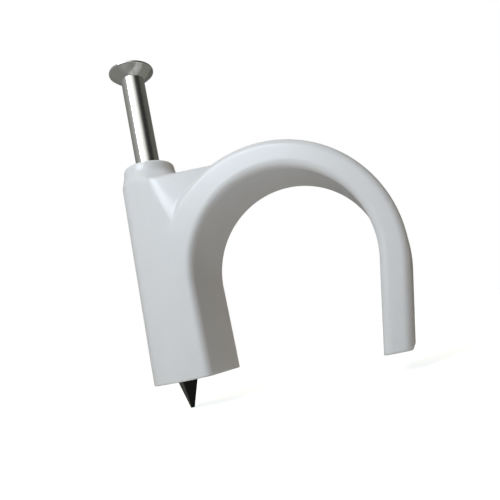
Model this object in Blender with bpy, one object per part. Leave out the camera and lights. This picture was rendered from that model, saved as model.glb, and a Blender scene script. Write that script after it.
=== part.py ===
"""Nail-in cable clip: a moulded plastic hook with a nail leg, and the steel nail that it carries.

Units are metres and +Z points away from the wall. The wall plane is z = 0. The origin lies on the flat foot of the
nail leg, half way between the nail bore and the cable. X points from the nail to the free foot, Y lies along the cable.
"""

import math

import bmesh
import bpy
from mathutils import Vector

MM = 0.001

# Cable and hook
CABLE_RADIUS = 10.0 * MM
CABLE_HEIGHT = 9.90 * MM
CLIP_DEPTH = 9.70 * MM
WALL_AT_LEG = 4.38 * MM
WALL_AT_CROWN = 3.39 * MM
WALL_AT_FREE_LEG = 2.84 * MM
FREE_LEG_LEAN = math.radians(12.0)
FREE_FOOT_WIDTH = 2.84 * MM
FREE_FOOT_DROP = 1.40 * MM
EDGE_FILLET = 0.70 * MM

# Nail leg: round nose about the nail, flanks that widen to the clip's depth, turned boss on top
NAIL_TO_CABLE = 15.10 * MM
NOSE_AT_FOOT = 3.87 * MM
NOSE_AT_TOP = 3.60 * MM
RIDGE_AT_FOOT = 0.89 * MM
RIDGE_AT_TOP = 2.64 * MM
BOSS_TOP = 26.30 * MM
BOSS_RADIUS = 3.10 * MM
BOSS_RIM_FILLET = 0.20 * MM
BOSS_LAND = 1.30 * MM
BOSS_DRAFT = 0.12
SHOULDER_FLARE = 0.80
LEG_TOP_ANGLE = math.radians(118.0)

# Gusset that thins from the leg's full depth to the hook's crown
CREASE_TOP_X = 1.96 * MM
CREASE_DROP = 4.11 * MM
CREASE_SLOPE = 1.45
GUSSET_RISE = 0.19 * MM
GUSSET_WIDTH_AT_CROWN = 2.40 * MM
GUSSET_START_LEAN = 0.45
GUSSET_FILLET = 0.35 * MM
GUSSET_CROWN_ANGLE = math.radians(94.0)
GUSSET_ROOT_ANGLE = math.radians(145.0)

# Nail
NAIL_RADIUS = 1.48 * MM
BORE_CLEARANCE = 0.30 * MM
HEAD_RADIUS = 2.87 * MM
HEAD_TOP = 40.13 * MM
HEAD_RIM = 0.35 * MM
HEAD_RIM_FILLET = 0.12 * MM
HEAD_CONE_HEIGHT = 1.10 * MM
POINT_DEPTH = 3.22 * MM
POINT_LENGTH = 5.60 * MM
POINT_BLUNT = 0.18 * MM

# Fineness of the round surfaces
HOOK_STEP = math.radians(5.0)
CORNER_STEPS = 6
TURNED_SEGMENTS = 64
NOSE_STEPS = 24
GUSSET_STEPS = 10
MERGE_DISTANCE = 1e-7
TOP_TOLERANCE = 0.01 * MM
SHARP_ANGLE = math.radians(18.0)

# Sizes that follow from the ones above
BORE_RADIUS = NAIL_RADIUS + BORE_CLEARANCE
LEG_INNER_FROM_NAIL = NAIL_TO_CABLE - CABLE_RADIUS
NAIL_X = -(BORE_RADIUS + LEG_INNER_FROM_NAIL) / 2
CABLE_X = NAIL_X + NAIL_TO_CABLE
OUTER_RADIUS = CABLE_RADIUS + (WALL_AT_LEG + WALL_AT_FREE_LEG) / 2
OUTER_X = CABLE_X + (WALL_AT_FREE_LEG - WALL_AT_LEG) / 2
OUTER_Z = CABLE_HEIGHT + CABLE_RADIUS + WALL_AT_CROWN - OUTER_RADIUS
HALF_DEPTH = CLIP_DEPTH / 2
CREASE_TOP_Z = BOSS_TOP - CREASE_DROP
CUT_MARGIN = 2.0 * MM


def clear_scene():
    for item in list(bpy.data.objects):
        bpy.data.objects.remove(item, do_unlink=True)


def make_object(name, verts, faces):
    mesh = bpy.data.meshes.new(name)
    mesh.from_pydata(verts, [], faces)
    mesh.validate()
    work = bmesh.new()
    work.from_mesh(mesh)
    bmesh.ops.recalc_face_normals(work, faces=work.faces)
    work.to_mesh(mesh)
    work.free()
    item = bpy.data.objects.new(name, mesh)
    bpy.context.scene.collection.objects.link(item)
    return item


def loft(name, rings):
    """Closed solid through rings of equally many points, with a flat cap on each end."""
    count = len(rings[0])
    verts = [point for ring in rings for point in ring]
    faces = []
    for low in range(len(rings) - 1):
        for i in range(count):
            j = (i + 1) % count
            a = low * count
            b = a + count
            faces.append((a + i, a + j, b + j, b + i))
    faces.append(tuple(range(count)))
    last = (len(rings) - 1) * count
    faces.append(tuple(last + i for i in reversed(range(count))))
    return make_object(name, verts, faces)


def turn(name, profile, centre_x):
    """Closed solid turned about the upright axis at centre_x. The profile's ends lie on the axis."""
    work = bmesh.new()
    points = [work.verts.new((centre_x + radius, 0, height)) for radius, height in profile]
    edges = [work.edges.new(pair) for pair in zip(points, points[1:])]
    bmesh.ops.spin(
        work,
        geom=points + edges,
        cent=(centre_x, 0, 0),
        axis=(0, 0, 1),
        angle=2 * math.pi,
        steps=TURNED_SEGMENTS,
        use_merge=True,
    )
    bmesh.ops.remove_doubles(work, verts=work.verts, dist=MERGE_DISTANCE)
    bmesh.ops.recalc_face_normals(work, faces=work.faces)
    mesh = bpy.data.meshes.new(name)
    work.to_mesh(mesh)
    work.free()
    item = bpy.data.objects.new(name, mesh)
    bpy.context.scene.collection.objects.link(item)
    return item


def combine(target, tool, operation):
    """Run one Boolean on target, keep its result as target's mesh and remove the tool."""
    step = target.modifiers.new(operation, "BOOLEAN")
    step.object = tool
    step.operation = operation
    step.solver = "EXACT"
    graph = bpy.context.evaluated_depsgraph_get()
    result = bpy.data.meshes.new_from_object(target.evaluated_get(graph))
    target.modifiers.clear()
    target.data = result
    bpy.data.objects.remove(tool, do_unlink=True)


def arc(centre, radius, start, end, steps):
    """Points on an arc in a plane, both ends included."""
    angles = [start + (end - start) * i / steps for i in range(steps + 1)]
    return [(centre[0] + radius * math.cos(a), centre[1] + radius * math.sin(a)) for a in angles]


def rounded_section(inner, outer):
    """Ring across the hook's wall: a rectangle from inner to outer and over the clip's depth, corners rounded."""
    across = outer - inner
    half_wall = across.length / 2
    middle = (inner + outer) / 2
    radial = across.normalized()
    ring = []
    for corner in range(4):
        u_sign = 1 if corner in (0, 3) else -1
        v_sign = 1 if corner in (0, 1) else -1
        centre = (u_sign * (half_wall - EDGE_FILLET), v_sign * (HALF_DEPTH - EDGE_FILLET))
        start = corner * math.pi / 2
        for u, v in arc(centre, EDGE_FILLET, start, start + math.pi / 2, CORNER_STEPS):
            ring.append((middle.x + radial.x * u, v, middle.y + radial.y * u))
    return ring


def inner_point(angle):
    return Vector((CABLE_X + CABLE_RADIUS * math.cos(angle), CABLE_HEIGHT + CABLE_RADIUS * math.sin(angle)))


def outer_point(angle):
    return Vector((OUTER_X + OUTER_RADIUS * math.cos(angle), OUTER_Z + OUTER_RADIUS * math.sin(angle)))


def hook():
    """The band over the cable: up the nail leg, round the arch, and down the leaning free leg."""
    sweep = math.pi + FREE_LEG_LEAN
    steps = round(sweep / HOOK_STEP)
    angles = [math.pi - sweep * i / steps for i in range(steps + 1)]
    pairs = [(inner_point(angle), outer_point(angle)) for angle in angles]
    leg_foot = (Vector((pairs[0][0].x, 0)), Vector((pairs[0][1].x, 0)))
    last_inner = pairs[-1][0]
    foot_x = last_inner.x - math.tan(FREE_LEG_LEAN) * (last_inner.y + FREE_FOOT_DROP)
    free_foot = (Vector((foot_x, -FREE_FOOT_DROP)), Vector((foot_x + FREE_FOOT_WIDTH, -FREE_FOOT_DROP)))
    stations = [leg_foot] + pairs + [free_foot]
    return loft("clip_body", [rounded_section(inner, outer) for inner, outer in stations])


def leg_section(height, nose, ridge, right):
    """Ring of the nail leg at one height: nose round the nail, flanks out to the ridges, square end in the hook."""
    turned = math.acos(nose / math.hypot(ridge, HALF_DEPTH)) - math.atan2(ridge, HALF_DEPTH)
    start = math.pi / 2 + turned
    ring = [(x, y, height) for x, y in arc((NAIL_X, 0), nose, start, 2 * math.pi - start, NOSE_STEPS)]
    ring += [(NAIL_X + ridge, -HALF_DEPTH, height), (right, -HALF_DEPTH, height)]
    ring += [(right, HALF_DEPTH, height), (NAIL_X + ridge, HALF_DEPTH, height)]
    return ring


def nail_leg():
    """The leg round the nail, its nose and ridges drafted towards the top, still square at the top."""
    buried = CABLE_X - CABLE_RADIUS - 2 * EDGE_FILLET
    rings = []
    for height, right in ((0, buried), (CABLE_HEIGHT, buried), (BOSS_TOP, outer_point(LEG_TOP_ANGLE).x)):
        rise = height / BOSS_TOP
        nose = NOSE_AT_FOOT + (NOSE_AT_TOP - NOSE_AT_FOOT) * rise
        ridge = RIDGE_AT_FOOT + (RIDGE_AT_TOP - RIDGE_AT_FOOT) * rise
        rings.append(leg_section(height, nose, ridge, right))
    return loft("leg", rings)


def shoulder():
    """The turned form that trims the leg's top: a boss with a rounded rim, a short land and a wide flare."""
    land_radius = BOSS_RADIUS + BOSS_DRAFT * BOSS_LAND
    land_bottom = BOSS_TOP - BOSS_LAND
    depth = land_bottom + CUT_MARGIN
    rim_centre = (BOSS_RADIUS - BOSS_RIM_FILLET, BOSS_TOP - BOSS_RIM_FILLET)
    rim = arc(rim_centre, BOSS_RIM_FILLET, math.pi / 2, 0, CORNER_STEPS)
    profile = [(0, BOSS_TOP)] + rim
    profile += [(land_radius, land_bottom), (land_radius + SHOULDER_FLARE * depth, -CUT_MARGIN), (0, -CUT_MARGIN)]
    return turn("shoulder", profile, NAIL_X)


def crown():
    return outer_point(GUSSET_CROWN_ANGLE)


def gusset_taper():
    """Half width that the gusset loses for each length towards the crown."""
    along = crown().x - NAIL_X - CREASE_TOP_X + (crown().y - CREASE_TOP_Z) / CREASE_SLOPE
    return (HALF_DEPTH - GUSSET_WIDTH_AT_CROWN / 2) / along


def gusset_half_width(x, z):
    return HALF_DEPTH - gusset_taper() * (x - NAIL_X - CREASE_TOP_X + (z - CREASE_TOP_Z) / CREASE_SLOPE)


def side_cutter(side):
    """Solid outside one slanting side of the gusset. The side is 1 or -1, the sign of its y."""
    left = NAIL_X - CLIP_DEPTH
    right = crown().x + CUT_MARGIN
    rings = []
    for z in (-CUT_MARGIN, BOSS_TOP + CUT_MARGIN):
        near_left = side * gusset_half_width(left, z)
        near_right = side * gusset_half_width(right, z)
        far = side * 4 * CLIP_DEPTH
        rings.append([(left, near_left, z), (right, near_right, z), (right, far, z), (left, far, z)])
    return loft("side_cutter", rings)


def thin_towards_crown(item):
    for side in (1, -1):
        combine(item, side_cutter(side), "DIFFERENCE")


def gusset_top(x):
    """Height of the gusset's top, which falls in a straight line to the hook's crown."""
    return crown().y + GUSSET_RISE * (crown().x - x) / (crown().x - NAIL_X)


def gusset():
    """The full-depth plate in the corner between the boss and the hook's crown."""
    start = NAIL_X + CREASE_TOP_X - GUSSET_START_LEAN * (gusset_top(NAIL_X) - CREASE_TOP_Z)
    outline = [(NAIL_X + CREASE_TOP_X, CREASE_TOP_Z), (start, gusset_top(start)), (crown().x, crown().y)]
    for i in range(GUSSET_STEPS + 1):
        angle = GUSSET_CROWN_ANGLE + (GUSSET_ROOT_ANGLE - GUSSET_CROWN_ANGLE) * i / GUSSET_STEPS
        middle = (inner_point(angle) + outer_point(angle)) / 2
        outline.append((middle.x, middle.y))
    return loft("gusset", [[(x, y, z) for x, z in outline] for y in (-HALF_DEPTH, HALF_DEPTH)])


def is_gusset_rim(edge):
    ends = [vert.co for vert in edge.verts]
    along = abs(ends[0].x - ends[1].x) > CUT_MARGIN
    return along and all(abs(point.z - gusset_top(point.x)) < TOP_TOLERANCE for point in ends)


def soften_gusset_rim(item):
    work = bmesh.new()
    work.from_mesh(item.data)
    rim = [edge for edge in work.edges if is_gusset_rim(edge)]
    bmesh.ops.bevel(work, geom=rim, offset=GUSSET_FILLET, segments=CORNER_STEPS, affect="EDGES", clamp_overlap=True)
    work.to_mesh(item.data)
    work.free()


def upright_cylinder(name, radius, low, high):
    profile = [(0, high), (radius, high), (radius, low), (0, low)]
    return turn(name, profile, NAIL_X)


def clip_body():
    leg = nail_leg()
    combine(leg, shoulder(), "INTERSECT")
    combine(leg, gusset(), "UNION")
    thin_towards_crown(leg)
    soften_gusset_rim(leg)
    body = hook()
    combine(body, leg, "UNION")
    combine(body, upright_cylinder("bore", BORE_RADIUS, -CUT_MARGIN, BOSS_TOP + CUT_MARGIN), "DIFFERENCE")
    return body


def nail_blank():
    """The nail before its point is cut: thin rimmed head, coned under the head, plain shank."""
    rim_low = HEAD_TOP - HEAD_RIM
    edge_x = HEAD_RADIUS - HEAD_RIM_FILLET
    profile = [(0, HEAD_TOP)]
    profile += arc((edge_x, HEAD_TOP - HEAD_RIM_FILLET), HEAD_RIM_FILLET, math.pi / 2, 0, CORNER_STEPS)
    profile += arc((edge_x, rim_low + HEAD_RIM_FILLET), HEAD_RIM_FILLET, 0, -math.pi / 4, CORNER_STEPS)
    profile += [(NAIL_RADIUS, rim_low - HEAD_CONE_HEIGHT), (NAIL_RADIUS, -POINT_DEPTH), (0, -POINT_DEPTH)]
    return turn("nail", profile, NAIL_X)


def point_cutter():
    """Four-sided pyramid, point down, whose faces touch the shank where the nail's point begins."""
    slope = (NAIL_RADIUS - POINT_BLUNT) / POINT_LENGTH
    low = -POINT_DEPTH
    high = HEAD_TOP + CUT_MARGIN
    rings = []
    for height in (low, high):
        corner = (POINT_BLUNT + slope * (height - low)) * math.sqrt(2)
        spots = [(corner, 0), (0, corner), (-corner, 0), (0, -corner)]
        rings.append([(NAIL_X + x, y, height) for x, y in spots])
    return loft("point", rings)


def nail():
    blank = nail_blank()
    combine(blank, point_cutter(), "INTERSECT")
    return blank


def material(name, colour, roughness, metallic):
    made = bpy.data.materials.new(name)
    made.use_nodes = True
    shader = made.node_tree.nodes["Principled BSDF"]
    shader.inputs["Base Color"].default_value = (*colour, 1)
    shader.inputs["Roughness"].default_value = roughness
    shader.inputs["Metallic"].default_value = metallic
    return made


def finish(item, made):
    item.data.materials.clear()
    item.data.materials.append(made)
    item.data.shade_smooth()
    item.data.set_sharp_from_angle(angle=SHARP_ANGLE)


clear_scene()
finish(clip_body(), material("clip_plastic", (0.66, 0.68, 0.70), 0.42, 0.0))
finish(nail(), material("nail_steel", (0.55, 0.54, 0.50), 0.28, 1.0))
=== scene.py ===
"""Looks of the nail-in cable clip: soft-edged white plastic hook, bright steel nail, plain pale studio.

Units are metres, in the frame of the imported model: +Z points away from the wall, X runs from the nail to
the free foot and Y along the cable. Both pieces are rebuilt here at a finer grain than the frame's solids,
on the same sizes.

The plastic is described by distances. Each form has a function that says how far a point lies outside it,
and the forms are met and joined with rounded edges. The frame's solid is remeshed, and its points are set
on that surface.
"""

import math

import bpy
import numpy as np
from mathutils import Matrix, Vector

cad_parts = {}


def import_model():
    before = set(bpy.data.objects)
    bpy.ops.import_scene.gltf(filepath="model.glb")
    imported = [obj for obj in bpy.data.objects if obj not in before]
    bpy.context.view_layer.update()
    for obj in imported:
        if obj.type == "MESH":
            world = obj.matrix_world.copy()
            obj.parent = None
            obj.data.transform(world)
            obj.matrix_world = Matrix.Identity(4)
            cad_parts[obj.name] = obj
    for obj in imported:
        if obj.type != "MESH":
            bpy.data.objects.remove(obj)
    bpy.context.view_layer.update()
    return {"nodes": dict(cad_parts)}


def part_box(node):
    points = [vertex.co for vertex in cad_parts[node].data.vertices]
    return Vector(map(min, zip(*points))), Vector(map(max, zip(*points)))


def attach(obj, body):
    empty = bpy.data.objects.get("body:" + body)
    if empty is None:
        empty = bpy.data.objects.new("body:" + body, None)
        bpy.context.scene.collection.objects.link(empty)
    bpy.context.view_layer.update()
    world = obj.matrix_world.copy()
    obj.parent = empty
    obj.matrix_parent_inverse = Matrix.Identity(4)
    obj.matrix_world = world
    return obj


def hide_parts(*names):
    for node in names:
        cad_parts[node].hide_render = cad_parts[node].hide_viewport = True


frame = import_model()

MM = 0.001

# Sizes read from the frame
BODY_LOW, BODY_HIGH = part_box("clip_body")
NAIL_LOW, NAIL_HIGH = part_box("nail")
HALF_DEPTH = BODY_HIGH.y
BOSS_TOP = BODY_HIGH.z
FREE_FOOT_Z = BODY_LOW.z
NAIL_X = (NAIL_LOW.x + NAIL_HIGH.x) / 2
HEAD_RADIUS = (NAIL_HIGH.x - NAIL_LOW.x) / 2
HEAD_TOP = NAIL_HIGH.z
POINT_Z = NAIL_LOW.z

# Hook
CABLE_RADIUS = 10.0 * MM
CABLE_HEIGHT = 9.90 * MM
NAIL_TO_CABLE = 15.10 * MM
WALL_AT_LEG = 4.38 * MM
WALL_AT_CROWN = 3.39 * MM
WALL_AT_FREE_LEG = 2.84 * MM
FREE_FOOT_WIDTH = 2.84 * MM
FREE_LEG_LEAN = math.radians(12.0)
HOOK_ROOT_ANGLE = math.radians(150.0)
CABLE_X = NAIL_X + NAIL_TO_CABLE
OUTER_RADIUS = CABLE_RADIUS + (WALL_AT_LEG + WALL_AT_FREE_LEG) / 2
OUTER_X = CABLE_X + (WALL_AT_FREE_LEG - WALL_AT_LEG) / 2
OUTER_Z = CABLE_HEIGHT + CABLE_RADIUS + WALL_AT_CROWN - OUTER_RADIUS

# Nail leg, boss and web
NOSE_AT_FOOT = 3.87 * MM
NOSE_AT_TOP = 3.60 * MM
RIDGE_AT_FOOT = 0.89 * MM
RIDGE_AT_TOP = 2.64 * MM
CREASE_TOP_X = 1.96 * MM
CREASE_TOP_Z = 22.19 * MM
GUSSET_TAPER = 0.300
GUSSET_TILT = 0.207
BOSS_RADIUS = 3.10 * MM
BOSS_LAND = 1.30 * MM
BOSS_DRAFT = 0.12
SHOULDER_FLARE = 0.80
WEB_TOP_AT_NAIL = 23.45 * MM
WEB_START = 1.95 * MM
WEB_START_LEAN = 0.45
WEB_CROWN_ANGLE = math.radians(94.0)
BORE_RADIUS = 1.78 * MM

# Softness of the moulded edges
BAND_EDGE = 0.85 * MM
FOOT_EDGE = 0.14 * MM
RIM_EDGE = 0.20 * MM
RIDGE_EDGE = 0.80 * MM
CREASE_EDGE = 0.35 * MM
WEB_EDGE = 0.40 * MM
BORE_EDGE = 0.12 * MM
INNER_CORNER = 0.25 * MM
LEAST_CORNER = 1e-6 * MM
CORNER_GROWTH = 0.5

# Fineness of the plastic's mesh
VOXEL = 0.17 * MM
SETTLE_ROUNDS = 5
SETTLE_SHARE = 0.6
SLOPE_REACH = 0.02 * MM
LEAST_STEEPNESS = 0.25

# Nail
SHANK_RADIUS = 1.48 * MM
HEAD_RIM = 0.35 * MM
HEAD_ROUND = 0.15 * MM
HEAD_CROWN = 0.12 * MM
HEAD_UNDERCUT = math.pi / 3
CONE_HEIGHT = 1.10 * MM
CONE_BULGE = 0.06 * MM
CONE_BULGE_OUT = 0.4
POINT_LENGTH = 5.60 * MM
POINT_BLUNT = 0.18 * MM
SMALLEST_RING = 0.01 * MM
SHARP_EDGE = math.radians(24)

# Fineness of the nail's mesh
NAIL_SEGMENTS = 128
CROWN_RINGS = 11
ROUND_RINGS = 8
CONE_RINGS = 13
SHANK_RINGS = 60
POINT_RINGS = 90

# Plastic: colours, then scales and heights of its unevenness
PLASTIC_DARK = (0.635, 0.645, 0.670, 1)
PLASTIC_PALE = (0.665, 0.675, 0.700, 1)
PLASTIC_TINT_SCALE = 180
PLASTIC_SHEEN_SCALE = 900
PLASTIC_ROUGHNESS = (0.26, 0.34)
PLASTIC_WAVE_SCALE = 160
PLASTIC_WAVE_HEIGHT = 0.03 * MM
PLASTIC_WAVE_STRENGTH = 0.20
PLASTIC_GLOW = 0.35
PLASTIC_GLOW_COLOUR = (1.0, 0.9, 0.75)
PLASTIC_GLOW_DEPTH = 1.2 * MM
PLASTIC_IOR = 1.49

# Steel: plated shank with draw lines and small dents, and a point painted near black as a painted dark
# reflection
STEEL_DARK = (0.74, 0.74, 0.71, 1)
STEEL_BRIGHT = (0.86, 0.86, 0.84, 1)
# Colour of the point: painted dark reflection, not the steel's own colour
POINT_PAINTED_DARK = (0.035, 0.034, 0.032, 1)
STEEL_TINT_SCALE = 700
STEEL_SHEEN_SCALE = 1500
STEEL_ROUGHNESS = (0.14, 0.24)
DRAW_SCALE = 3500
DRAW_STRETCH = (1, 1, 0.05)
DRAW_HEIGHT = 0.004 * MM
DRAW_STRENGTH = 0.4
DENT_SCALE = 450
DENT_HEIGHT = 0.03 * MM
DENT_STRENGTH = 0.25
# Height where the point's painted dark reflection begins, and height below which it is full
PAINTED_DARK_FROM_Z = POINT_Z + POINT_LENGTH
PAINTED_DARK_FULL_Z = POINT_Z + 0.8 * POINT_LENGTH

# Floor and fill
FLOOR_Z = POINT_Z - 0.08 * MM
FLOOR_HALF = 1.5
FLOOR_COLOUR = (0.76, 0.76, 0.76, 1)
FLOOR_ROUGHNESS = 0.95
FLOOR_SPECULAR = 0.1
FLOOR_LIFT = 0.76
FLOOR_LIFT_COLOUR = (0.93, 0.99, 1.01, 1)
FILL_COLOUR = (1.0, 0.85, 0.65, 1)
FILL_LEVEL = 0.45

# Key light on the left and shading card on the right, with angles in degrees, about one middle
LIGHT_CENTRE = Vector((8.0, 0.0, 14.0)) * MM
KEY_AZIMUTH = -19
KEY_ELEVATION = 35
KEY_DISTANCE = 0.12
KEY_SIDE = 0.06
KEY_WATTS = 0.099
KEY_COLOUR = (0.82, 0.93, 1.02)
CARD_AZIMUTH = 62
CARD_ELEVATION = 15
CARD_DISTANCE = 0.13
CARD_WIDTH = 0.12
CARD_HEIGHT = 0.20
CARD_COLOUR = (0.01, 0.01, 0.01, 1)
CARD_ROUGHNESS = 0.9

# Brightness that the steel mirrors, by azimuth from the front towards +X in degrees
MIRRORED = [
    (-180, 0.10), (-150, 0.12), (-87, 0.26), (-47, 0.36), (-33, 0.47), (-20, 0.66), (-8, 0.88), (4, 1.0),
    (22, 1.0), (31, 0.88), (38, 0.50), (48, 0.13), (58, 0.03), (72, 0.006), (90, 0.012), (105, 0.08),
    (180, 0.10),
]
MIRRORED_BLUE = 0.97
MIRRORED_OLIVE_FROM = 60
MIRRORED_OLIVE_BLUE = 0.85
MIRRORED_FLOOR_COLOUR = (0.20, 0.20, 0.185, 1)
MIRRORED_FLOOR_LIFT = 0.01 * MM
MIRROR_RADIUS = 0.15
MIRROR_TOP = 0.25
MIRROR_STEPS = 96
BLACK = (0, 0, 0, 1)
WHITE = (1, 1, 1, 1)

# Camera, fitted to the photo's outline, with angles in radians
CAMERA_PLACE = Vector((24.437, -55.229, 2.026)) * MM
CAMERA_YAW = -0.300
CAMERA_PITCH = 0.185
CAMERA_ROLL = 0.214
FOCAL_PIXELS = 510.0
PICTURE_PIXELS = 500.0
SENSOR_MM = 36.0
NEAREST_SEEN = 1 * MM
FARTHEST_SEEN = 10.0


def outer_point(angle):
    """X and Z of a point on the arch's outer side."""
    return OUTER_X + OUTER_RADIUS * math.cos(angle), OUTER_Z + OUTER_RADIUS * math.sin(angle)


def inner_point(angle):
    """X and Z of a point on the arch's inner side."""
    return CABLE_X + CABLE_RADIUS * math.cos(angle), CABLE_HEIGHT + CABLE_RADIUS * math.sin(angle)


CROWN = outer_point(WEB_CROWN_ANGLE)


def meet(a, b, radius):
    """Distance of the overlap of two forms, with its convex edge rounded."""
    corner = np.hypot(np.maximum(a + radius, 0), np.maximum(b + radius, 0))
    return np.minimum(np.maximum(a, b), -radius) + corner


def join(a, b, radius):
    """Distance of two forms together, with the concave corner between them filled."""
    corner = np.hypot(np.maximum(radius - a, 0), np.maximum(radius - b, 0))
    return np.maximum(np.minimum(a, b), radius) - corner


def side_line(x, z, centre, start, end):
    """Distance outwards from the line through two points, as seen from a centre."""
    along_x, along_z = end[0] - start[0], end[1] - start[1]
    length = math.hypot(along_x, along_z)
    out_x, out_z = along_z / length, -along_x / length
    if (start[0] - centre[0]) * out_x + (start[1] - centre[1]) * out_z < 0:
        out_x, out_z = -out_x, -out_z
    return (x - start[0]) * out_x + (z - start[1]) * out_z


def wall_side(x, z, centre, radius, free_start, free_end):
    """Distance outwards from one side of the hook: straight nail leg, arch, straight leaning free leg."""
    angle = np.degrees(np.arctan2(z - centre[1], x - centre[0]))
    arch = np.hypot(x - centre[0], z - centre[1]) - radius
    leg = centre[0] - radius - x
    free = side_line(x, z, centre, free_start, free_end)
    on_free = (angle < -math.degrees(FREE_LEG_LEAN)) & (angle > -90)
    on_leg = angle <= -90
    return np.where(on_free, free, np.where(on_leg, leg, arch))


def hook_distance(x, y, z):
    """The hook: a band between its inner and outer side, its root in the leg, its foot cut off level."""
    inner_start = inner_point(-FREE_LEG_LEAN)
    foot_x = inner_start[0] - math.tan(FREE_LEG_LEAN) * (inner_start[1] - FREE_FOOT_Z)
    inner_foot = (foot_x, FREE_FOOT_Z)
    outer_foot = (foot_x + FREE_FOOT_WIDTH, FREE_FOOT_Z)
    inner = wall_side(x, z, (CABLE_X, CABLE_HEIGHT), CABLE_RADIUS, inner_start, inner_foot)
    outer = wall_side(x, z, (OUTER_X, OUTER_Z), OUTER_RADIUS, outer_point(-FREE_LEG_LEAN), outer_foot)
    outer = np.maximum(outer, outer_point(HOOK_ROOT_ANGLE)[0] - x)
    band = meet(np.maximum(outer, -inner), np.abs(y) - HALF_DEPTH, BAND_EDGE)
    foot = np.where(x < CABLE_X, 0.0, FREE_FOOT_Z)
    return meet(band, foot - z, FOOT_EDGE)


def gusset_side(out, half, z):
    """Distance from the slanting side that thins the full-depth leg towards the hook's crown."""
    width = HALF_DEPTH - GUSSET_TAPER * (out - CREASE_TOP_X) - GUSSET_TILT * (z - CREASE_TOP_Z)
    return (half - width) / math.sqrt(1 + GUSSET_TAPER ** 2 + GUSSET_TILT ** 2)


def leg_distance(x, y, z):
    """The leg: round nose, flanks that widen to the full depth, sides that thin towards the crown."""
    out = x - NAIL_X
    half = np.abs(y)
    rise = z / BOSS_TOP
    nose = NOSE_AT_FOOT + (NOSE_AT_TOP - NOSE_AT_FOOT) * rise
    ridge = RIDGE_AT_FOOT + (RIDGE_AT_TOP - RIDGE_AT_FOOT) * rise
    turn = np.arccos(nose / np.hypot(ridge, HALF_DEPTH)) - np.arctan2(ridge, HALF_DEPTH)
    flank = half * np.cos(turn) - out * np.sin(turn) - nose
    ahead = out * np.cos(turn) + half * np.sin(turn) < 0
    sides = meet(flank, half - HALF_DEPTH, RIDGE_EDGE)
    column = np.where(ahead, np.hypot(out, half) - nose, sides)
    column = meet(column, gusset_side(out, half, z), CREASE_EDGE)
    middle = CABLE_RADIUS + WALL_AT_CROWN / 2
    inside = middle - np.hypot(x - CABLE_X, np.maximum(z - CABLE_HEIGHT, 0))
    column = np.maximum(np.maximum(column, inside), x - CROWN[0])
    return meet(column, -z, FOOT_EDGE)


def shoulder_distance(x, y, z):
    """What trims the leg: a turned boss with land and flare, and the gusset's flat top beside it."""
    across = x - NAIL_X
    out = np.hypot(across, y)
    drop = BOSS_TOP - z
    land = (out - BOSS_RADIUS - BOSS_DRAFT * drop) / math.hypot(1, BOSS_DRAFT)
    land_foot = BOSS_RADIUS + BOSS_DRAFT * BOSS_LAND
    flare = (out - land_foot - SHOULDER_FLARE * (drop - BOSS_LAND)) / math.hypot(1, SHOULDER_FLARE)
    turned = meet(join(land, flare, INNER_CORNER), -drop, RIM_EDGE)
    fall = (WEB_TOP_AT_NAIL - CROWN[1]) / (CROWN[0] - NAIL_X)
    above = (z - WEB_TOP_AT_NAIL + fall * across) / math.hypot(1, fall)
    before = (WEB_START - across - WEB_START_LEAN * (z - CREASE_TOP_Z)) / math.hypot(1, WEB_START_LEAN)
    return join(turned, meet(above, before, WEB_EDGE), INNER_CORNER)


def body_distance(points):
    """The whole moulding: trimmed leg, hook and bore, with a corner that softens as the gusset recedes."""
    x, y, z = points.T
    leg = meet(leg_distance(x, y, z), shoulder_distance(x, y, z), WEB_EDGE)
    recess = GUSSET_TAPER * (x - NAIL_X - CREASE_TOP_X) + GUSSET_TILT * (z - CREASE_TOP_Z)
    corner = np.clip(CORNER_GROWTH * recess, LEAST_CORNER, INNER_CORNER)
    solid = join(hook_distance(x, y, z), leg, corner)
    bore = np.hypot(x - NAIL_X, y) - BORE_RADIUS
    return meet(solid, -bore, BORE_EDGE)


def body_slope(points):
    """How the distance grows along each axis at each point."""
    slope = np.empty_like(points)
    for axis in range(3):
        shift = np.zeros(3)
        shift[axis] = SLOPE_REACH
        slope[:, axis] = body_distance(points + shift) - body_distance(points - shift)
    return slope / (2 * SLOPE_REACH)


def onto_surface(points):
    """The points moved along the slope to where the distance is nil."""
    gap = body_distance(points)
    slope = body_slope(points)
    steepness = np.maximum((slope ** 2).sum(1), LEAST_STEEPNESS)
    return points - (gap / steepness)[:, None] * slope


def neighbour_middle(points, edges, count):
    """Middle of each point's neighbours."""
    total = np.zeros_like(points)
    for axis in range(3):
        total[:, axis] = np.bincount(edges[:, 0], points[edges[:, 1], axis], len(points))
        total[:, axis] += np.bincount(edges[:, 1], points[edges[:, 0], axis], len(points))
    return total / count[:, None]


def settle(points, edges):
    """Even the points out along the surface and set them on it exactly."""
    count = np.bincount(edges.ravel(), minlength=len(points))
    for _ in range(SETTLE_ROUNDS):
        points = points + SETTLE_SHARE * (neighbour_middle(points, edges, count) - points)
        points = onto_surface(points)
    return onto_surface(points)


def new_piece(name, data):
    """An object in the scene, from a mesh, a lamp or a camera."""
    piece = bpy.data.objects.new(name, data)
    bpy.context.scene.collection.objects.link(piece)
    return piece


def mesh_piece(name, points, faces):
    """An object in the scene, from points and faces."""
    mesh = bpy.data.meshes.new(name)
    mesh.from_pydata(points, [], faces)
    return new_piece(name, mesh)


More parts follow.
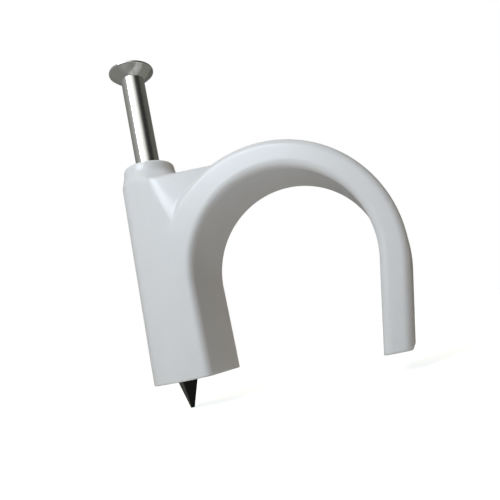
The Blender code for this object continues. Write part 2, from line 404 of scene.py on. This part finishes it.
def plastic_body():
    """The moulded hook as one fine mesh, settled on its rounded form."""
    mesh = frame["nodes"]["clip_body"].data.copy()
    mesh.name = "moulded_clip"
    piece = new_piece("moulded_clip", mesh)
    remesh = piece.modifiers.new("fine", "REMESH")
    remesh.mode = "VOXEL"
    remesh.voxel_size = VOXEL
    graph = bpy.context.evaluated_depsgraph_get()
    fine = bpy.data.meshes.new_from_object(piece.evaluated_get(graph))
    piece.modifiers.clear()
    piece.data = fine
    points = np.empty(len(fine.vertices) * 3)
    fine.vertices.foreach_get("co", points)
    edges = np.empty(len(fine.edges) * 2, int)
    fine.edges.foreach_get("vertices", edges)
    placed = settle(points.reshape(-1, 3), edges.reshape(-1, 2))
    fine.vertices.foreach_set("co", placed.ravel())
    fine.shade_smooth()
    fine.update()
    return piece


def shares(steps):
    """Equal steps from just above 0 up to 1."""
    return np.linspace(0, 1, steps + 1)[1:]


def arc(centre, radius, start, end, steps):
    """Points on an arc, both ends among them."""
    angles = np.linspace(start, end, steps + 1)
    return [(centre[0] + radius * math.cos(a), centre[1] + radius * math.sin(a)) for a in angles]


def head_profile():
    """Radius and height down the head, from its crowned top to the shank under the cone."""
    rim_radius = HEAD_RADIUS - HEAD_ROUND
    rim_top = HEAD_TOP - HEAD_CROWN - HEAD_ROUND
    rim_low = HEAD_TOP - HEAD_CROWN - HEAD_RIM + HEAD_ROUND
    top = np.linspace(0, 1, CROWN_RINGS + 1)[:-1]
    profile = [(rim_radius * share, HEAD_TOP - HEAD_CROWN * share * share) for share in top]
    profile += arc((rim_radius, rim_top), HEAD_ROUND, math.pi / 2, 0, ROUND_RINGS)
    profile += arc((rim_radius, rim_low), HEAD_ROUND, 0, -HEAD_UNDERCUT, ROUND_RINGS)
    start_radius, start_z = profile[-1]
    cone_low = HEAD_TOP - HEAD_RIM - CONE_HEIGHT
    for share in shares(CONE_RINGS):
        bulge = math.sin(share * math.pi) * CONE_BULGE
        radius = start_radius + (SHANK_RADIUS - start_radius) * share
        z = start_z + (cone_low - start_z) * share
        profile.append((radius + bulge * CONE_BULGE_OUT, z - bulge))
    return profile


def point_radius(angle, height):
    """Distance from the axis to the four ground faces of the point, in one direction."""
    slope = (SHANK_RADIUS - POINT_BLUNT) / POINT_LENGTH
    apothem = POINT_BLUNT + slope * (height - POINT_Z)
    quarter = (angle % (math.pi / 2)) - math.pi / 4
    return apothem / math.cos(quarter)


def nail_angles():
    return [2 * math.pi * i / NAIL_SEGMENTS for i in range(NAIL_SEGMENTS)]


def nail_rows():
    """Rings of radius and height down the nail: head, shank and four-sided point."""
    rows = [[(max(radius, SMALLEST_RING), z)] * NAIL_SEGMENTS for radius, z in head_profile()]
    shank_top = rows[-1][0][1]
    point_top = POINT_Z + POINT_LENGTH
    for share in shares(SHANK_RINGS):
        z = shank_top + (point_top - shank_top) * share
        rows.append([(SHANK_RADIUS, z)] * NAIL_SEGMENTS)
    for share in shares(POINT_RINGS):
        z = point_top + (POINT_Z - point_top) * share
        rows.append([(min(SHANK_RADIUS, point_radius(angle, z)), z) for angle in nail_angles()])
    return rows


def steel_nail():
    """The nail as one mesh, lofted through its rings and closed at both ends."""
    rows = nail_rows()
    points = []
    for row in rows:
        for angle, (radius, z) in zip(nail_angles(), row):
            points.append((NAIL_X + radius * math.cos(angle), radius * math.sin(angle), z))
    faces = []
    for k in range(len(rows) - 1):
        upper = k * NAIL_SEGMENTS
        lower = upper + NAIL_SEGMENTS
        for i in range(NAIL_SEGMENTS):
            j = (i + 1) % NAIL_SEGMENTS
            faces.append((upper + i, lower + i, lower + j, upper + j))
    last = (len(rows) - 1) * NAIL_SEGMENTS
    faces.append(tuple(range(NAIL_SEGMENTS)))
    faces.append(tuple(last + i for i in reversed(range(NAIL_SEGMENTS))))
    piece = mesh_piece("steel_nail", points, faces)
    piece.data.validate()
    piece.data.shade_smooth()
    piece.data.set_sharp_from_angle(angle=SHARP_EDGE)
    return piece


def new_material(name):
    """A material with its node tree and its shader."""
    made = bpy.data.materials.new(name)
    made.use_nodes = True
    tree = made.node_tree
    return made, tree, tree.nodes["Principled BSDF"]


def object_place(tree):
    return tree.nodes.new("ShaderNodeTexCoord").outputs["Object"]


def split_axes(tree, place):
    node = tree.nodes.new("ShaderNodeSeparateXYZ")
    tree.links.new(place, node.inputs["Vector"])
    return node.outputs


def noise(tree, scale, detail, place):
    node = tree.nodes.new("ShaderNodeTexNoise")
    node.inputs["Scale"].default_value = scale
    node.inputs["Detail"].default_value = detail
    tree.links.new(place, node.inputs["Vector"])
    return node.outputs["Fac"]


def calculate(tree, operation, first, second):
    """A sum on two values, each of them a socket or a plain number."""
    node = tree.nodes.new("ShaderNodeMath")
    node.operation = operation
    for socket, value in zip(node.inputs, (first, second)):
        if isinstance(value, bpy.types.NodeSocket):
            tree.links.new(value, socket)
        else:
            socket.default_value = value
    return node.outputs["Value"]


def map_range(tree, value, source, target):
    """A value carried from one range to another, and kept inside it."""
    node = tree.nodes.new("ShaderNodeMapRange")
    for name, number in zip(("From Min", "From Max", "To Min", "To Max"), (*source, *target)):
        node.inputs[name].default_value = number
    tree.links.new(value, node.inputs["Value"])
    return node.outputs["Result"]


def mix_colours(tree, share, first, second):
    """A blend of two colours, each of them a socket or a plain colour."""
    node = tree.nodes.new("ShaderNodeMix")
    node.data_type = "RGBA"
    for name, colour in (("A", first), ("B", second)):
        if isinstance(colour, bpy.types.NodeSocket):
            tree.links.new(colour, node.inputs[name])
        else:
            node.inputs[name].default_value = colour
    tree.links.new(share, node.inputs["Factor"])
    return node.outputs["Result"]


def bump(tree, height, distance, strength, before=None):
    """Surface directions bent by a height, on top of another bump if there is one."""
    node = tree.nodes.new("ShaderNodeBump")
    node.inputs["Distance"].default_value = distance
    node.inputs["Strength"].default_value = strength
    tree.links.new(height, node.inputs["Height"])
    if before is not None:
        tree.links.new(before, node.inputs["Normal"])
    return node.outputs["Normal"]


def plastic_material():
    """Cool white moulded plastic: faintly cloudy, softly glossy, a little light passing under its skin."""
    made, tree, shader = new_material("moulded_plastic")
    place = object_place(tree)
    tint = mix_colours(tree, noise(tree, PLASTIC_TINT_SCALE, 3, place), PLASTIC_DARK, PLASTIC_PALE)
    sheen = map_range(tree, noise(tree, PLASTIC_SHEEN_SCALE, 2, place), (0, 1), PLASTIC_ROUGHNESS)
    waves = noise(tree, PLASTIC_WAVE_SCALE, 1, place)
    waves = bump(tree, waves, PLASTIC_WAVE_HEIGHT, PLASTIC_WAVE_STRENGTH)
    tree.links.new(tint, shader.inputs["Base Color"])
    tree.links.new(sheen, shader.inputs["Roughness"])
    tree.links.new(waves, shader.inputs["Normal"])
    shader.inputs["Subsurface Weight"].default_value = PLASTIC_GLOW
    shader.inputs["Subsurface Radius"].default_value = PLASTIC_GLOW_COLOUR
    shader.inputs["Subsurface Scale"].default_value = PLASTIC_GLOW_DEPTH
    shader.inputs["IOR"].default_value = PLASTIC_IOR
    return made


def steel_material():
    """Bright plated steel with draw lines and small dents, and a painted dark reflection that turns the
    point near black.
    """
    made, tree, shader = new_material("plated_steel")
    place = object_place(tree)
    stretch = tree.nodes.new("ShaderNodeMapping")
    stretch.inputs["Scale"].default_value = DRAW_STRETCH
    tree.links.new(place, stretch.inputs["Vector"])
    plated = mix_colours(tree, noise(tree, STEEL_TINT_SCALE, 4, place), STEEL_DARK, STEEL_BRIGHT)
    # Painted dark reflection: the point fades to near black below the shank
    painted_dark = map_range(tree, split_axes(tree, place)["Z"], (PAINTED_DARK_FROM_Z, PAINTED_DARK_FULL_Z), (0, 1))
    tint = mix_colours(tree, painted_dark, plated, POINT_PAINTED_DARK)
    sheen = map_range(tree, noise(tree, STEEL_SHEEN_SCALE, 3, place), (0, 1), STEEL_ROUGHNESS)
    lines = noise(tree, DRAW_SCALE, 3, stretch.outputs["Vector"])
    lines = bump(tree, lines, DRAW_HEIGHT, DRAW_STRENGTH)
    dents = bump(tree, noise(tree, DENT_SCALE, 2, place), DENT_HEIGHT, DENT_STRENGTH, lines)
    tree.links.new(tint, shader.inputs["Base Color"])
    tree.links.new(sheen, shader.inputs["Roughness"])
    tree.links.new(dents, shader.inputs["Normal"])
    shader.inputs["Metallic"].default_value = 1.0
    return made


def face_centre(piece, azimuth, elevation, distance):
    """Set a lamp or card at a distance from the object's middle, turned to it.

    Azimuth runs from the front towards +X and elevation upwards, in degrees.
    """
    az, el = math.radians(azimuth), math.radians(elevation)
    away = Vector((math.sin(az) * math.cos(el), -math.cos(az) * math.cos(el), math.sin(el)))
    piece.location = LIGHT_CENTRE + away * distance
    piece.rotation_euler = away.to_track_quat("Z", "Y").to_euler()


def key_light():
    """One soft square light, high on the left of the front."""
    data = bpy.data.lights.new("key", "AREA")
    data.shape = "RECTANGLE"
    data.size = KEY_SIDE
    data.size_y = KEY_SIDE
    data.energy = KEY_WATTS
    data.color = KEY_COLOUR
    face_centre(new_piece("key", data), KEY_AZIMUTH, KEY_ELEVATION, KEY_DISTANCE)


def flat_sheet(name, width, height):
    """A rectangle about its own middle."""
    w, h = width / 2, height / 2
    return mesh_piece(name, [(-w, -h, 0), (w, -h, 0), (w, h, 0), (-w, h, 0)], [(0, 1, 2, 3)])


def dark_card():
    """A card that shades the object's right side and that neither the camera nor the steel sees."""
    piece = flat_sheet("dark_card", CARD_WIDTH, CARD_HEIGHT)
    face_centre(piece, CARD_AZIMUTH, CARD_ELEVATION, CARD_DISTANCE)
    made, tree, shader = new_material("dark_card")
    shader.inputs["Base Color"].default_value = CARD_COLOUR
    shader.inputs["Roughness"].default_value = CARD_ROUGHNESS
    piece.data.materials.append(made)
    piece.visible_camera = False
    piece.visible_glossy = False


def mirror_ring(height):
    """Points round the nail at the mirrored studio's radius."""
    angles = [2 * math.pi * i / MIRROR_STEPS for i in range(MIRROR_STEPS)]
    return [(MIRROR_RADIUS * math.cos(a), MIRROR_RADIUS * math.sin(a), height) for a in angles]


def glowing_material(name):
    """A black material that only glows."""
    made, tree, shader = new_material(name)
    shader.inputs["Base Color"].default_value = BLACK
    shader.inputs["Emission Strength"].default_value = 1.0
    return made, tree, shader


def show_in_reflections_only(piece):
    for view in ("visible_camera", "visible_diffuse", "visible_transmission", "visible_shadow"):
        setattr(piece, view, False)


def turn_share(tree):
    """Share of the full turn round the nail: 0 behind, a quarter on the left, a half in front."""
    axes = split_axes(tree, object_place(tree))
    front = calculate(tree, "MULTIPLY", axes["Y"], -1)
    azimuth = calculate(tree, "ARCTAN2", axes["X"], front)
    return map_range(tree, azimuth, (-math.pi, math.pi), (0, 1))


def mirrored_colours(tree):
    """The mirrored brightness at each share of the turn, with an olive tinge on the right."""
    ramp = tree.nodes.new("ShaderNodeValToRGB")
    stops = ramp.color_ramp.elements
    for degrees, level in MIRRORED:
        share = (degrees + 180) / 360
        if share == 0:
            stop = stops[0]
        elif share == 1:
            stop = stops[len(stops) - 1]
        else:
            stop = stops.new(share)
        blue = MIRRORED_OLIVE_BLUE if degrees > MIRRORED_OLIVE_FROM else MIRRORED_BLUE
        stop.color = (level, level, level * blue, 1)
    tree.links.new(turn_share(tree), ramp.inputs["Fac"])
    return ramp.outputs["Color"]


def mirrored_wall():
    """A round wall seen in reflections alone: bright in front, black to the right, grey behind."""
    faces = []
    for i in range(MIRROR_STEPS):
        j = (i + 1) % MIRROR_STEPS
        faces.append((i, j, MIRROR_STEPS + j, MIRROR_STEPS + i))
    piece = mesh_piece("mirrored_wall", mirror_ring(0) + mirror_ring(MIRROR_TOP), faces)
    piece.location = (NAIL_X, 0, FLOOR_Z)
    made, tree, shader = glowing_material("mirrored_wall")
    tree.links.new(mirrored_colours(tree), shader.inputs["Emission Color"])
    piece.data.materials.append(made)
    show_in_reflections_only(piece)


def mirrored_floor():
    """A grey disc that only reflections see, in place of the white floor."""
    piece = mesh_piece("mirrored_floor", mirror_ring(0), [tuple(range(MIRROR_STEPS))])
    piece.location = (NAIL_X, 0, FLOOR_Z + MIRRORED_FLOOR_LIFT)
    made, tree, shader = glowing_material("mirrored_floor")
    shader.inputs["Emission Color"].default_value = MIRRORED_FLOOR_COLOUR
    piece.data.materials.append(made)
    show_in_reflections_only(piece)


def seen_by(tree, kinds):
    """1 for rays of the named kinds, and 0 for the others, which light the object."""
    path = tree.nodes.new("ShaderNodeLightPath")
    seen = path.outputs[kinds[0]]
    for kind in kinds[1:]:
        seen = calculate(tree, "MAXIMUM", seen, path.outputs[kind])
    return seen


def floor():
    """A pale floor that looks white where it is seen, and keeps the object's shadow."""
    piece = flat_sheet("floor", 2 * FLOOR_HALF, 2 * FLOOR_HALF)
    piece.location.z = FLOOR_Z
    made, tree, shader = new_material("floor_paper")
    shader.inputs["Base Color"].default_value = FLOOR_COLOUR
    shader.inputs["Roughness"].default_value = FLOOR_ROUGHNESS
    shader.inputs["Specular IOR Level"].default_value = FLOOR_SPECULAR
    shader.inputs["Emission Color"].default_value = FLOOR_LIFT_COLOUR
    lift = calculate(tree, "MULTIPLY", seen_by(tree, ("Is Camera Ray", "Is Glossy Ray")), FLOOR_LIFT)
    tree.links.new(lift, shader.inputs["Emission Strength"])
    piece.data.materials.append(made)


def background(tree, colour, strength):
    node = tree.nodes.new("ShaderNodeBackground")
    node.inputs["Color"].default_value = colour
    node.inputs["Strength"].default_value = strength
    return node.outputs["Background"]


def world():
    """White where it is seen, and a warm fill on the object."""
    made = bpy.data.worlds.new("studio")
    bpy.context.scene.world = made
    made.use_nodes = True
    tree = made.node_tree
    tree.nodes.clear()
    seen = seen_by(tree, ("Is Camera Ray", "Is Glossy Ray", "Is Transmission Ray"))
    mix = tree.nodes.new("ShaderNodeMixShader")
    tree.links.new(seen, mix.inputs["Fac"])
    tree.links.new(background(tree, FILL_COLOUR, FILL_LEVEL), mix.inputs[1])
    tree.links.new(background(tree, WHITE, 1.0), mix.inputs[2])
    out = tree.nodes.new("ShaderNodeOutputWorld")
    tree.links.new(mix.outputs["Shader"], out.inputs["Surface"])


def camera():
    """The photo's camera, from its place, yaw, pitch and roll."""
    data = bpy.data.cameras.new("camera")
    data.sensor_width = SENSOR_MM
    data.lens = SENSOR_MM * FOCAL_PIXELS / PICTURE_PIXELS
    data.clip_start = NEAREST_SEEN
    data.clip_end = FARTHEST_SEEN
    piece = new_piece("camera", data)
    yaw, pitch, roll = CAMERA_YAW, CAMERA_PITCH, CAMERA_ROLL
    ahead = Vector((math.sin(yaw) * math.cos(pitch), math.cos(yaw) * math.cos(pitch), math.sin(pitch)))
    level = Vector((math.cos(yaw), -math.sin(yaw), 0))
    down = ahead.cross(level)
    right = level * math.cos(roll) + down * math.sin(roll)
    under = -level * math.sin(roll) + down * math.cos(roll)
    turn = Matrix((right, -under, -ahead)).transposed()
    piece.matrix_world = Matrix.Translation(CAMERA_PLACE) @ turn.to_4x4()
    bpy.context.scene.camera = piece


camera()
clip = plastic_body()
clip.data.materials.clear()
clip.data.materials.append(plastic_material())
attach(clip, "clip")
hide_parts("clip_body")

nail = steel_nail()
nail.data.materials.append(steel_material())
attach(nail, "drive_nail")
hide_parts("nail")

floor()
world()
key_light()
dark_card()
mirrored_wall()
mirrored_floor()

bpy.context.scene.view_settings.view_transform = "Standard"
